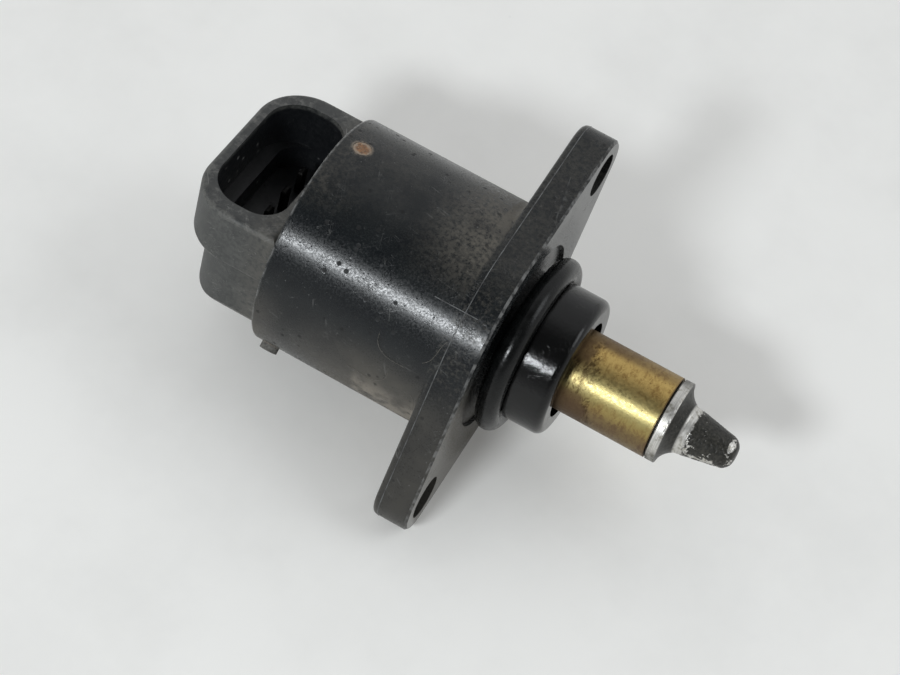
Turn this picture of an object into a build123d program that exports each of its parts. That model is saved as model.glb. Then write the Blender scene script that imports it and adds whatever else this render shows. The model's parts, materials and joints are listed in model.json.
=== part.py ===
"""Idle air control valve: a stepper motor in a moulded flanged housing drives a pintle on a lead screw.

Millimetres. The valve's axis is X, with the pintle towards +X. The origin is on the axis in the flange's
mounting face. +Z is up as the valve lies on its can and on one straight side of its flange.
"""
import os
from math import asin, cos, degrees, radians, sin

from build123d import *

# Housing: can, flange and spigot in one moulding
can_radius = 17.0
can_wall = 1.55
rim_fillet = 0.4
flange_thickness = 5.4
flange_rear_fillet = 0.8
flange_front_chamfer = 0.35
bolt_spacing = 50.0
bolt_hole_radius = 3.2
lobe_radius = 5.2
relief_radius = 14.0
relief_depth = 0.6
neck_radius = 9.7
spigot_radius = 10.25
spigot_length = 9.8
spigot_lip_fillet = 1.2
spigot_mouth_radius = 7.2
front_wall = 7.0

# Seal round the spigot's root
o_ring_section = 3.4
o_ring_gap = 0.7

# Connector cap: plug, base, hood and socket
connector_clocking = 40.0
plug_depth = 5.1
plug_clearance = 0.05
skirt_length = 1.0
skirt_wall = 1.9
base_length = 12.5
base_width = 26.6
base_corner = 7.2
base_rear_round = 5.0
hood_overhang = 2.1
hood_side_step = 0.6
hood_bottom_fillet = 0.8
ledge_height = 0.2
mouth_height = 9.3
mouth_fillet = 0.9
socket_rear_wall = 1.7
socket_front_wall = 1.9
socket_side_wall = 2.7
socket_depth = 11.4
socket_end_flat = 0.7
seat_wall = 1.6

# Terminals in the socket
terminal_count = 4
terminal_pitch = 4.6
terminal_width = 1.6
terminal_thickness = 0.8
terminal_reach = 3.8
terminal_tip_chamfer = 0.2
terminal_leg_gap = 0.6
terminal_leg_proud = 0.5
terminal_clearance = 0.03

# Pins that hold the cap in the can
pin_clocking = 45.4
pin_radius = 1.3
pin_inset = 3.2
proud_pin_inset = 2.1
pin_seat_depth = 2.6
pin_flush_gap = 0.1
pin_proud = 1.0
pin_spread = 140.0
pin_clearance = 0.02

# Stator: two stacks, each with claw poles round a bobbin and a coil
stack_length = 9.2
pole_sheet = 0.6
pole_pairs = 6
claw_gap_root = 4.7
claw_gap_tip = 7.4
claw_tip_gap = 1.2
stator_clearance = 0.25
bobbin_wall = 0.5
bobbin_clearance = 0.1
coil_clearance = 0.05
coil_inset = 0.4

# Plunger: brass sleeve, pintle and lead screw
sleeve_radius = 6.0
sleeve_wall = 1.0
sleeve_front_x = 23.3
plunger_retract = 7.0
shank_length = 6.0
groove_width = 0.3
groove_depth = 0.5
collar_width = 1.3
flare_length = 1.8
flare_start_radius = 5.8
flare_hollow = 3.4
cone_radius = 3.5
cone_length = 7.6
cone_tip_radius = 2.05
nose_round = 1.7
screw_radius = 2.0
screw_seat = 4.0
screw_past_nut = 0.3
screw_end_gap = 0.7
screw_chamfer = 0.4
thread_clearance = 0.05

# Guide bush with the key that stops the plunger from turning
guide_rear_gap = 0.4
guide_recess = 3.8
guide_wall = 1.53
guide_clearance = 0.05
key_width = 1.4
key_length = 3.0
key_height = 0.85
key_clearance = 0.1
key_end_gap = 0.6
sleeve_rear_gap = 0.6

# Rotor: hub, magnet and nut
hub_front_gap = 0.2
hub_bore_clearance = 0.3
hub_nose_wall = 0.6
hub_shoulder = 0.5
hub_floor = 2.6
nut_wall = 2.0
nut_length = 6.0
journal_wall = 1.1
journal_bore_gap = 0.4
magnet_wall = 1.2
magnet_length = 15.4
air_gap = 0.3
press_gap = 0.02

# Bearings
bearing_width = 4.0
bearing_section = 3.48
race_wall = 1.0
ball_count = 9
ball_groove = 0.21
ball_clearance = 0.05
cage_width = 2.4
cage_gap = 0.29
bush_wall = 1.5
bush_flange = 0.6
bush_flange_width = 1.5
bush_end_gap = 0.4
running_clearance = 0.03
washer_sheet = 0.4
washer_height = 1.7
washer_gap = 0.1
washer_bore_gap = 0.7

# Places along the axis that follow from the sizes above, from the spigot to the connector
shoulder_x = o_ring_section + o_ring_gap
guide_front_x = spigot_length - guide_recess
front_wall_x = -front_wall
bearing_front_x = front_wall_x + bearing_width
bearing_mid_x = front_wall_x + bearing_width / 2
stator_mid_x = front_wall_x - stack_length
stator_rear_x = stator_mid_x - stack_length
plug_front_x = stator_rear_x - skirt_length
rim_x = plug_front_x - plug_depth
pin_x = rim_x + pin_inset
proud_pin_x = rim_x + proud_pin_inset
base_rear_x = rim_x - base_length
hood_rear_x = base_rear_x - hood_overhang

# Places of the rotor and the plunger
guide_rear_x = bearing_front_x + guide_rear_gap
sleeve_rear_x = guide_rear_x + sleeve_rear_gap
slot_end_x = guide_rear_x + key_length + plunger_retract + key_end_gap
bush_front_x = plug_front_x + bush_flange
hub_front_x = bearing_front_x - hub_front_gap
hub_rear_x = bush_front_x + washer_height + washer_gap
nut_rear_x = hub_rear_x + hub_floor
nut_front_x = nut_rear_x + nut_length
screw_rear_x = nut_rear_x - screw_past_nut
journal_end_x = screw_rear_x - plunger_retract - screw_end_gap
bush_rear_x = journal_end_x - bush_end_gap
shank_x = sleeve_front_x - shank_length
screw_front_x = shank_x + screw_seat

# Radii, from the plunger outwards and from the can inwards
guide_bore = sleeve_radius + guide_clearance
guide_radius = guide_bore + guide_wall
hub_bore = sleeve_radius + hub_bore_clearance
hub_nose_radius = hub_bore + hub_nose_wall
hub_radius = hub_nose_radius + hub_shoulder
magnet_bore = hub_radius + press_gap
magnet_radius = magnet_bore + magnet_wall
inner_race_bore = hub_nose_radius + press_gap
bearing_radius = inner_race_bore + bearing_section
ball_pitch = inner_race_bore + bearing_section / 2
ball_radius = bearing_section / 2 - race_wall + ball_groove
cage_half = bearing_section / 2 - race_wall - cage_gap
journal_bore = screw_radius + journal_bore_gap
journal_radius = journal_bore + journal_wall
nut_radius = screw_radius + nut_wall
bush_bore = journal_radius + running_clearance
bush_radius = bush_bore + bush_wall
bush_flange_radius = bush_radius + bush_flange_width
pole_radius = magnet_radius + air_gap
can_bore = can_radius - can_wall
cap_radius = can_bore - plug_clearance
stator_radius = can_bore - stator_clearance
pin_foot = cap_radius - pin_seat_depth

# Directions: the valve lies on one straight side of its flange, so its bolt line is rolled about X
bolt_offset = bolt_spacing / 2
roll = degrees(asin((can_radius - lobe_radius) / bolt_offset))


def outwards(angle):
    """Direction square to the axis, at an angle from the flange's short axis towards its upper lobe."""
    turn = radians(angle - roll)
    return Vector(0, sin(turn), cos(turn))


flange_plane = Plane(origin=(0, 0, 0), x_dir=outwards(90), z_dir=(1, 0, 0))
connector_plane = Plane(origin=(0, 0, 0), x_dir=(1, 0, 0), z_dir=outwards(connector_clocking))
socket_axis = Axis((0, 0, 0), connector_plane.z_dir)


def radial_plane(x, angle):
    """Plane through the axis at x, facing outwards at an angle, with its own x along the axis."""
    return Plane(origin=(x, 0, 0), x_dir=(1, 0, 0), z_dir=outwards(angle))


def ring(start_x, end_x, inner, outer):
    """Plain ring about the axis."""
    with BuildPart() as made:
        with BuildSketch(Plane.YZ.offset(start_x)):
            Circle(outer)
            Circle(inner, mode=Mode.SUBTRACT)
        extrude(amount=end_x - start_x)
    return made


def turned(*points):
    """Solid turned about the axis from a profile of (x, radius) points."""
    with BuildPart() as made:
        with BuildSketch(Plane.XY):
            with BuildLine():
                Polyline(*points, close=True)
            make_face()
        revolve(axis=Axis.X)
    return made


pieces = {}

# Housing: the flange is the hull of the can and two lobes, and the can runs on through it
pin_planes = [
    radial_plane(pin_x, pin_clocking),
    radial_plane(pin_x, pin_clocking + pin_spread),
    radial_plane(proud_pin_x, pin_clocking - pin_spread),
]
with BuildPart() as housing:
    with BuildSketch(flange_plane.offset(-flange_thickness)):
        Circle(can_radius)
        with Locations((bolt_offset, 0), (-bolt_offset, 0)):
            Circle(lobe_radius)
        make_hull()
    extrude(amount=flange_thickness)
    fillet(housing.faces().sort_by(Axis.X)[0].edges(), flange_rear_fillet)
    chamfer(housing.faces().sort_by(Axis.X)[-1].edges(), flange_front_chamfer)
    with BuildSketch(Plane.YZ.offset(rim_x)):
        Circle(can_radius)
    extrude(amount=-rim_x - flange_front_chamfer)
    fillet(housing.faces().sort_by(Axis.X)[0].edges(), rim_fillet)
    with BuildSketch(Plane.YZ):
        Circle(relief_radius)
    extrude(amount=-relief_depth, mode=Mode.SUBTRACT)
    with BuildSketch(Plane.YZ.offset(-relief_depth)):
        Circle(neck_radius)
    extrude(amount=relief_depth + shoulder_x)
    with BuildSketch(Plane.YZ.offset(shoulder_x)):
        Circle(spigot_radius)
    extrude(amount=spigot_length - shoulder_x)
    fillet(housing.faces().sort_by(Axis.X)[-1].edges(), spigot_lip_fillet)
    for depth_x, radius in (
        (front_wall_x, can_bore),
        (bearing_front_x, bearing_radius + press_gap),
        (guide_front_x, guide_radius + press_gap),
        (spigot_length, spigot_mouth_radius),
    ):
        with BuildSketch(Plane.YZ.offset(rim_x)):
            Circle(radius)
        extrude(amount=depth_x - rim_x, mode=Mode.SUBTRACT)
    with BuildSketch(flange_plane):
        with Locations((bolt_offset, 0), (-bolt_offset, 0)):
            Circle(bolt_hole_radius)
    extrude(amount=-flange_thickness, mode=Mode.SUBTRACT)
    with BuildSketch(*pin_planes):
        Circle(pin_radius + pin_clearance)
    extrude(amount=can_radius + pin_radius, mode=Mode.SUBTRACT)
pieces["housing"] = housing

# Seal, seated on the neck against the spigot's shoulder
with BuildPart() as o_ring:
    with BuildSketch(Plane.XY):
        with Locations((shoulder_x - o_ring_section / 2, neck_radius + o_ring_section / 2)):
            Circle(o_ring_section / 2)
    revolve(axis=Axis.X)
pieces["o_ring"] = o_ring

# Terminals: a blade up the socket and a leg forwards to the motor
hood_length = rim_x - hood_rear_x
hood_width = base_width + 2 * hood_side_step
socket_length = hood_length - socket_rear_wall - socket_front_wall
socket_width = hood_width - 2 * socket_side_wall
socket_front_x = rim_x - socket_front_wall
well_length = socket_length - hood_overhang
well_mid_x = socket_front_x - well_length / 2
seat_height = ledge_height + seat_wall
floor_height = mouth_height - socket_depth
leg_height = -(bush_flange_radius + terminal_leg_gap + terminal_thickness / 2)
leg_end_x = plug_front_x + terminal_leg_proud


def terminal_outline(grow):
    """L-shaped side view of a terminal, along the axis and up the socket, grown by a clearance."""
    half = terminal_thickness / 2 + grow
    top = floor_height + terminal_reach
    Polyline(
        (well_mid_x - half, top),
        (well_mid_x - half, leg_height - half),
        (leg_end_x, leg_height - half),
        (leg_end_x, leg_height + half),
        (well_mid_x + half, leg_height + half),
        (well_mid_x + half, top),
        close=True,
    )


def terminal_plane(across):
    """Side plane of a terminal at a place across the socket: x along the axis, y up the socket."""
    return Plane(origin=connector_plane.y_dir * across, x_dir=(1, 0, 0), z_dir=-connector_plane.y_dir)


terminal_places = [(i - (terminal_count - 1) / 2) * terminal_pitch for i in range(terminal_count)]
for number, across in enumerate(terminal_places, 1):
    with BuildPart() as terminal:
        with BuildSketch(terminal_plane(across)):
            with BuildLine():
                terminal_outline(0)
            make_face()
        extrude(amount=terminal_width / 2, both=True)
        chamfer(terminal.faces().sort_by(socket_axis)[-1].edges(), terminal_tip_chamfer)
    pieces[f"terminal_{number}"] = terminal

# Connector cap: a hood with an oval socket and a well below it, on a stepped base that plugs into the can
with BuildPart() as connector_cap:
    with BuildSketch(connector_plane.offset(ledge_height)) as hood_outline:
        with Locations((hood_rear_x + hood_length / 2, 0)):
            Rectangle(hood_length, hood_width)
        fillet(hood_outline.vertices().group_by(Axis.X)[0], base_corner)
    extrude(amount=mouth_height - ledge_height)
    fillet(connector_cap.faces().sort_by(socket_axis)[0].edges(), hood_bottom_fillet)
    fillet(connector_cap.faces().sort_by(socket_axis)[-1].edges(), mouth_fillet)
    with BuildSketch(connector_plane.offset(ledge_height)) as base_outline:
        with Locations((base_rear_x + base_length / 2, 0)):
            Rectangle(base_length, base_width)
        fillet(base_outline.vertices().group_by(Axis.X)[0], base_corner)
    base = extrude(amount=-cap_radius - ledge_height, mode=Mode.PRIVATE)
    with BuildSketch(Plane.XY) as stock_outline:
        with Locations((base_rear_x, 0)):
            Rectangle(base_length, cap_radius, align=Align.MIN)
        fillet(stock_outline.vertices().group_by(Axis.X)[0].sort_by(Axis.Y)[-1], base_rear_round)
    round_stock = revolve(axis=Axis.X, mode=Mode.PRIVATE)
    add(base & round_stock)
    with BuildSketch(Plane.YZ.offset(rim_x)):
        Circle(cap_radius)
    extrude(amount=plug_depth)
    with BuildSketch(Plane.YZ.offset(plug_front_x)):
        Circle(cap_radius)
        Circle(cap_radius - skirt_wall, mode=Mode.SUBTRACT)
    extrude(amount=skirt_length)
    for bottom, length in ((seat_height, socket_length), (floor_height, well_length)):
        with BuildSketch(connector_plane.offset(bottom)):
            with Locations((socket_front_x - length / 2, 0)):
                RectangleRounded(length, socket_width, (length - socket_end_flat) / 2)
        extrude(amount=mouth_height - bottom, mode=Mode.SUBTRACT)
    with BuildSketch(Plane.YZ.offset(bush_rear_x)):
        Circle(bush_radius + press_gap)
    extrude(amount=plug_front_x - bush_rear_x, mode=Mode.SUBTRACT)
    for across in terminal_places:
        with BuildSketch(terminal_plane(across)):
            with BuildLine():
                terminal_outline(terminal_clearance)
            make_face()
        extrude(amount=terminal_width / 2 + terminal_clearance, both=True, mode=Mode.SUBTRACT)
    with BuildSketch(*[plane.offset(pin_foot) for plane in pin_planes]):
        Circle(pin_radius + pin_clearance)
    extrude(amount=pin_seat_depth + pin_radius, mode=Mode.SUBTRACT)
pieces["connector_cap"] = connector_cap

# Pins through the can's wall into the cap, the last of them backed out and standing proud
pin_tops = [can_radius - pin_flush_gap, can_radius - pin_flush_gap, can_radius + pin_proud]
with BuildPart() as cap_pins:
    for plane, pin_top in zip(pin_planes, pin_tops):
        with BuildSketch(plane.offset(pin_foot)):
            Circle(pin_radius)
        extrude(amount=pin_top - pin_foot)
pieces["cap_pins"] = cap_pins

# Stator: cups and plates of sheet steel with claw poles, back to back in two stacks
claw_length = stack_length - 2 * pole_sheet - claw_tip_gap
claw_pitch = 360 / pole_pairs
cup_wall = stack_length - pole_sheet


def stator_half(face_x, towards, wall_length, clocking):
    """Sheet ring with claw poles that reach the given way along X, and an outer wall where it has one."""
    gap_planes = [
        radial_plane(face_x + towards * pole_sheet, clocking + (number + 0.5) * claw_pitch)
        for number in range(pole_pairs)
    ]
    with BuildPart() as made:
        with BuildSketch(Plane.YZ.offset(face_x)):
            Circle(pole_radius + pole_sheet)
            Circle(pole_radius, mode=Mode.SUBTRACT)
        extrude(amount=towards * (pole_sheet + claw_length))
        with BuildSketch(*gap_planes):
            with BuildLine():
                Polyline(
                    (0, -claw_gap_root / 2),
                    (towards * claw_length, -claw_gap_tip / 2),
                    (towards * claw_length, claw_gap_tip / 2),
                    (0, claw_gap_root / 2),
                    close=True,
                )
            make_face()
        extrude(amount=stator_radius, mode=Mode.SUBTRACT)
        with BuildSketch(Plane.YZ.offset(face_x)):
            Circle(stator_radius)
            Circle(pole_radius, mode=Mode.SUBTRACT)
        extrude(amount=towards * pole_sheet)
        if wall_length:
            with BuildSketch(Plane.YZ.offset(face_x)):
                Circle(stator_radius)
                Circle(stator_radius - pole_sheet, mode=Mode.SUBTRACT)
            extrude(amount=towards * wall_length)
    return made


pieces["front_stator_cup"] = stator_half(front_wall_x, -1, cup_wall, 0)
pieces["front_stator_plate"] = stator_half(stator_mid_x, 1, 0, claw_pitch / 2)
pieces["rear_stator_plate"] = stator_half(stator_mid_x, -1, 0, claw_pitch / 4)
pieces["rear_stator_cup"] = stator_half(stator_rear_x, 1, cup_wall, claw_pitch * 3 / 4)

# Bobbins and coils, one in each stack
bobbin_bore = pole_radius + pole_sheet + bobbin_clearance
bobbin_core = bobbin_bore + bobbin_wall
bobbin_radius = stator_radius - pole_sheet - bobbin_clearance
for place, start_x in (("front", stator_mid_x), ("rear", stator_rear_x)):
    left_x = start_x + pole_sheet + bobbin_clearance
    right_x = start_x + stack_length - pole_sheet - bobbin_clearance
    pieces[f"{place}_bobbin"] = turned(
        (left_x, bobbin_bore),
        (right_x, bobbin_bore),
        (right_x, bobbin_radius),
        (right_x - bobbin_wall, bobbin_radius),
        (right_x - bobbin_wall, bobbin_core),
        (left_x + bobbin_wall, bobbin_core),
        (left_x + bobbin_wall, bobbin_radius),
        (left_x, bobbin_radius),
    )
    pieces[f"{place}_coil"] = ring(
        left_x + bobbin_wall + coil_clearance,
        right_x - bobbin_wall - coil_clearance,
        bobbin_core + coil_clearance,
        bobbin_radius - coil_inset,
    )

# Rotor: a hollow hub that the plunger draws back into, with a nut, a magnet and a rear journal
pieces["rotor_hub"] = turned(
    (hub_front_x, hub_bore),
    (hub_front_x, hub_nose_radius),
    (front_wall_x, hub_nose_radius),
    (front_wall_x, hub_radius),
    (hub_rear_x, hub_radius),
    (hub_rear_x, journal_radius),
    (journal_end_x, journal_radius),
    (journal_end_x, journal_bore),
    (nut_rear_x, journal_bore),
    (nut_rear_x, nut_radius + press_gap),
    (nut_front_x, nut_radius + press_gap),
    (nut_front_x, hub_bore),
)
pieces["lead_nut"] = ring(nut_rear_x, nut_front_x, screw_radius + thread_clearance, nut_radius)
pieces["rotor_magnet"] = ring(
    stator_mid_x - magnet_length / 2, stator_mid_x + magnet_length / 2, magnet_bore, magnet_radius
)


# Front ball bearing, pressed into the front wall and carrying the hub's nose
def race(inner, outer):
    """Bearing race with a groove for the balls."""
    with BuildPart() as made:
        with BuildSketch(Plane.XY):
            with Locations((bearing_mid_x, (inner + outer) / 2)):
                Rectangle(bearing_width, outer - inner)
            with Locations((bearing_mid_x, ball_pitch)):
                Circle(ball_radius + ball_clearance, mode=Mode.SUBTRACT)
        revolve(axis=Axis.X)
    return made


pieces["bearing_outer_race"] = race(bearing_radius - race_wall, bearing_radius)
pieces["bearing_inner_race"] = race(inner_race_bore, inner_race_bore + race_wall)
ball_planes = [radial_plane(bearing_mid_x, number * 360 / ball_count) for number in range(ball_count)]
with BuildPart() as bearing_balls:
    with Locations(*[plane.offset(ball_pitch) for plane in ball_planes]):
        Sphere(ball_radius)
pieces["bearing_balls"] = bearing_balls
with BuildPart() as bearing_cage:
    with BuildSketch(Plane.YZ.offset(bearing_mid_x)):
        Circle(ball_pitch + cage_half)
        Circle(ball_pitch - cage_half, mode=Mode.SUBTRACT)
    extrude(amount=cage_width / 2, both=True)
    with BuildSketch(*ball_planes):
        Circle(ball_radius + ball_clearance)
    extrude(amount=bearing_radius, mode=Mode.SUBTRACT)
pieces["bearing_cage"] = bearing_cage

# Rear bush in the cap, with a spring washer that takes up the rotor's end play
washer_front_x = bush_front_x + washer_height
washer_bore = journal_radius + washer_bore_gap
pieces["rear_bush"] = turned(
    (bush_rear_x, bush_bore),
    (bush_rear_x, bush_radius),
    (plug_front_x, bush_radius),
    (plug_front_x, bush_flange_radius),
    (bush_front_x, bush_flange_radius),
    (bush_front_x, bush_bore),
)
pieces["preload_washer"] = turned(
    (bush_front_x, bush_flange_radius),
    (bush_front_x + washer_sheet, bush_flange_radius),
    (washer_front_x, washer_bore),
    (washer_front_x - washer_sheet, washer_bore),
)

# Guide bush in the spigot, with a key inside it
key_angle = connector_clocking + 180
with BuildPart() as guide_bush:
    with BuildSketch(Plane.YZ.offset(guide_rear_x)):
        Circle(guide_radius)
        Circle(guide_bore, mode=Mode.SUBTRACT)
    extrude(amount=guide_front_x - guide_rear_x)
    with BuildSketch(radial_plane(guide_rear_x, key_angle).offset(guide_bore - key_height)):
        Rectangle(key_length, key_width, align=(Align.MIN, Align.CENTER))
    extrude(amount=key_height + guide_wall / 2)
pieces["guide_bush"] = guide_bush

# Plunger sleeve: a brass tube slotted from behind for the key
with BuildPart() as plunger_sleeve:
    with BuildSketch(Plane.YZ.offset(sleeve_rear_x)):
        Circle(sleeve_radius)
        Circle(sleeve_radius - sleeve_wall, mode=Mode.SUBTRACT)
    extrude(amount=sleeve_front_x - sleeve_rear_x)
    with BuildSketch(radial_plane(sleeve_rear_x, key_angle)):
        Rectangle(slot_end_x - sleeve_rear_x, key_width + 2 * key_clearance, align=(Align.MIN, Align.CENTER))
    extrude(amount=sleeve_radius, mode=Mode.SUBTRACT)
pieces["plunger_sleeve"] = plunger_sleeve

# Pintle: shank, collar, hollow flare, tapered point and blunt round nose, turned in one piece
shank_radius = sleeve_radius - sleeve_wall - press_gap
screw_socket = screw_radius + press_gap
groove_radius = sleeve_radius - groove_depth
collar_x = sleeve_front_x + groove_width
flare_x = collar_x + collar_width
cone_x = flare_x + flare_length
tip_x = cone_x + cone_length
with BuildPart() as pintle:
    with BuildSketch(Plane.XY):
        with BuildLine():
            Polyline(
                (tip_x, 0),
                (screw_front_x, 0),
                (screw_front_x, screw_socket),
                (shank_x, screw_socket),
                (shank_x, shank_radius),
                (sleeve_front_x, shank_radius),
                (sleeve_front_x, groove_radius),
                (collar_x, groove_radius),
                (collar_x, sleeve_radius),
                (flare_x, sleeve_radius),
                (flare_x, flare_start_radius),
            )
            RadiusArc((flare_x, flare_start_radius), (cone_x, cone_radius), -flare_hollow)
            Polyline((cone_x, cone_radius), (tip_x, cone_tip_radius), (tip_x, 0))
        make_face()
    revolve(axis=Axis.X)
    fillet(pintle.faces().sort_by(Axis.X)[-1].edges(), nose_round)
pieces["pintle"] = pintle

# Lead screw, fixed in the pintle's shank
with BuildPart() as lead_screw:
    with BuildSketch(Plane.YZ.offset(screw_rear_x)):
        Circle(screw_radius)
    extrude(amount=screw_front_x - screw_rear_x)
    chamfer(lead_screw.faces().sort_by(Axis.X)[0].edges(), screw_chamfer)
pieces["lead_screw"] = lead_screw

os.makedirs("parts", exist_ok=True)
for name, piece in pieces.items():
    piece.part.label = name
    export_step(piece.part, f"parts/{name}.step")
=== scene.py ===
"""Looks of an idle air control valve.

Adds the finishes, worn metal, moulding flash, thread, windings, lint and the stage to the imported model.
That model is the fixed frame. Lengths are metres, and finishes work in millimetres.
"""

import json
import math

import bmesh
import bpy
from bpy.props import FloatProperty, FloatVectorProperty, IntProperty, PointerProperty
from mathutils import Matrix, Vector, noise


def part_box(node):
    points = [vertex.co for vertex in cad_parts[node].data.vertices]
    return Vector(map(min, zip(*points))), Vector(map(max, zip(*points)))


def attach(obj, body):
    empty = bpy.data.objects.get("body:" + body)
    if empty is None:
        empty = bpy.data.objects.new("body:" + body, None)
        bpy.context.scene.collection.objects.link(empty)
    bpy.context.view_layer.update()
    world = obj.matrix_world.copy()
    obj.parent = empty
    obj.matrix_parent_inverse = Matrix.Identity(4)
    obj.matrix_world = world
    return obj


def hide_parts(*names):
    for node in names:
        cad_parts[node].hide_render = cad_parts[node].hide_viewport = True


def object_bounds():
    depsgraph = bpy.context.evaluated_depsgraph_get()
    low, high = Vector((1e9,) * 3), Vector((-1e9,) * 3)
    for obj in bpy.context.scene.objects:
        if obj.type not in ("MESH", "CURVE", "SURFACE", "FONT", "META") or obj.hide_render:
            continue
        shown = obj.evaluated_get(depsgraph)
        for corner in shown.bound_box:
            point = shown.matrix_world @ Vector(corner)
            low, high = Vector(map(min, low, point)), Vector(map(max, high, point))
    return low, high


bl_info = {
    "name": "Idle air control valve",
    "version": (1, 0, 0),
    "blender": (4, 5, 0),
    "location": "View3D > Sidebar > Valve",
    "description": "Dresses the packed valve with its finishes, its worn and moulded detail, and a stage",
    "category": "Object",
}

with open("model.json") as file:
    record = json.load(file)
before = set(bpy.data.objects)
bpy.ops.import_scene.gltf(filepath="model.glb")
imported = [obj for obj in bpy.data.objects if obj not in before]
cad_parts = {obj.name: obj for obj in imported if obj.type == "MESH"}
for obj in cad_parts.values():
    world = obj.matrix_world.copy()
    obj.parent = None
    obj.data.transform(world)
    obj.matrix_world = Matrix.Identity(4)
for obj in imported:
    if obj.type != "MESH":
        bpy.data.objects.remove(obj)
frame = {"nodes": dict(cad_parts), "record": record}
NODES = frame["nodes"]
CAD_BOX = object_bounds()
MOUNTS = {mount["name"]: mount for mount in frame["record"]["mounts"]}
MM = 0.001

# Directions of the valve: its own axis is X, and both others are square to it
AXIS = Vector((1, 0, 0))
BOLT_LINE = Vector(MOUNTS["mounting_face"]["pos_m"]).normalized()
FLANGE_SHORT = AXIS.cross(BOLT_LINE)
SOCKET_UP = Vector(MOUNTS["plug_socket"]["axis"]).normalized()
SOCKET_ACROSS = SOCKET_UP.cross(AXIS)

# Places and radii that the frame gives
RIM_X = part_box("housing")[0].x
SPIGOT_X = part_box("housing")[1].x
FLOOR_Z = CAD_BOX[0].z
CAN_RADIUS = -FLOOR_Z
SLEEVE_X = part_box("plunger_sleeve")[1].x
SLEEVE_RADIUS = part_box("plunger_sleeve")[1].z
BOLT_REACH = MOUNTS["flange_bolts"]["dims"]["pcd_mm"] / 2 * MM
LOBE_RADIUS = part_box("housing")[1].y - BOLT_REACH * BOLT_LINE.y
SOCKET_X = MOUNTS["plug_socket"]["pos_m"][0]
MOUTH_UP = Vector(MOUNTS["plug_socket"]["pos_m"]).dot(SOCKET_UP)

# Half the angle of each lobe's arc, where the flange's straight edges begin
FLANGE_TURN = math.acos((CAN_RADIUS - LOBE_RADIUS) / BOLT_REACH)

# Corners further apart than this round the axis, in radians, belong to different pins
PIN_GAP = 0.3

# Points nearer than this are one point
MEETING = 1e-7


def pin_places():
    """Middle and outward direction of each of the cap's pins, from the corners of their solids."""
    corners = []
    for corner in NODES["cap_pins"].data.vertices:
        turn = math.atan2(-corner.co.dot(BOLT_LINE), -corner.co.dot(FLANGE_SHORT))
        corners.append((turn, corner.co.x))
    corners.sort()
    groups = [corners[:1]]
    for corner, after in zip(corners, corners[1:]):
        if after[0] - corner[0] > PIN_GAP:
            groups.append([])
        groups[-1].append(after)
    places = []
    for group in groups:
        turn = (group[0][0] + group[-1][0]) / 2
        ends = [x for _, x in group]
        outwards = -math.cos(turn) * FLANGE_SHORT - math.sin(turn) * BOLT_LINE
        places.append((AXIS * (min(ends) + max(ends)) / 2, outwards))
    return places


PINS = pin_places()


class ValveSizes(bpy.types.PropertyGroup):
    """Sizes of the detail that the scene adds."""

    seam_back: FloatProperty(
        name="Seam place", description="Mould seam behind the flange's front face",
        default=0.0044, unit="LENGTH",
    )
    seam_reach: FloatProperty(
        name="Seam reach", description="Length of the mould seam along the can",
        default=0.0046, unit="LENGTH",
    )
    seam_turn: FloatProperty(
        name="Seam turn", description="Turn of the seam along the can",
        default=math.radians(-2.7), subtype="ANGLE",
    )
    flash_radius: FloatProperty(
        name="Flash radius", description="Size of the bead of flash",
        default=0.00007, precision=6, unit="LENGTH",
    )
    root_round: FloatProperty(
        name="Root round", description="Round between the can and the flange",
        default=0.0011, precision=5, unit="LENGTH",
    )
    edge_round: FloatProperty(
        name="Edge round", description="Round on the flange's rear edge",
        default=0.0008, precision=5, unit="LENGTH",
    )
    lint_count: IntProperty(name="Lint count", description="Number of fibres on the can", default=4, min=1)
    lint_radius: FloatProperty(
        name="Lint radius", description="Half the thickness of a fibre",
        default=0.00002, precision=6, unit="LENGTH",
    )
    pintle_step: FloatProperty(
        name="Pintle step", description="Distance between rings on the pintle",
        default=0.00007, precision=6, unit="LENGTH",
    )
    soot_length: FloatProperty(
        name="Soot length", description="Sooty length back from the pintle's tip",
        default=0.0068, unit="LENGTH",
    )
    flare_back: FloatProperty(
        name="Flare place", description="Foot of the pintle's flare, back from its tip",
        default=0.0077, unit="LENGTH",
    )
    thread_pitch: FloatProperty(
        name="Thread pitch", description="Travel of the plunger in one turn",
        default=0.001, precision=5, unit="LENGTH",
    )
    thread_radius: FloatProperty(
        name="Thread radius", description="Size of the thread's ridge",
        default=0.00022, precision=5, unit="LENGTH",
    )
    wire_radius: FloatProperty(
        name="Wire radius", description="Half the thickness of the coils' wire",
        default=0.00012, precision=5, unit="LENGTH",
    )


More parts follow.
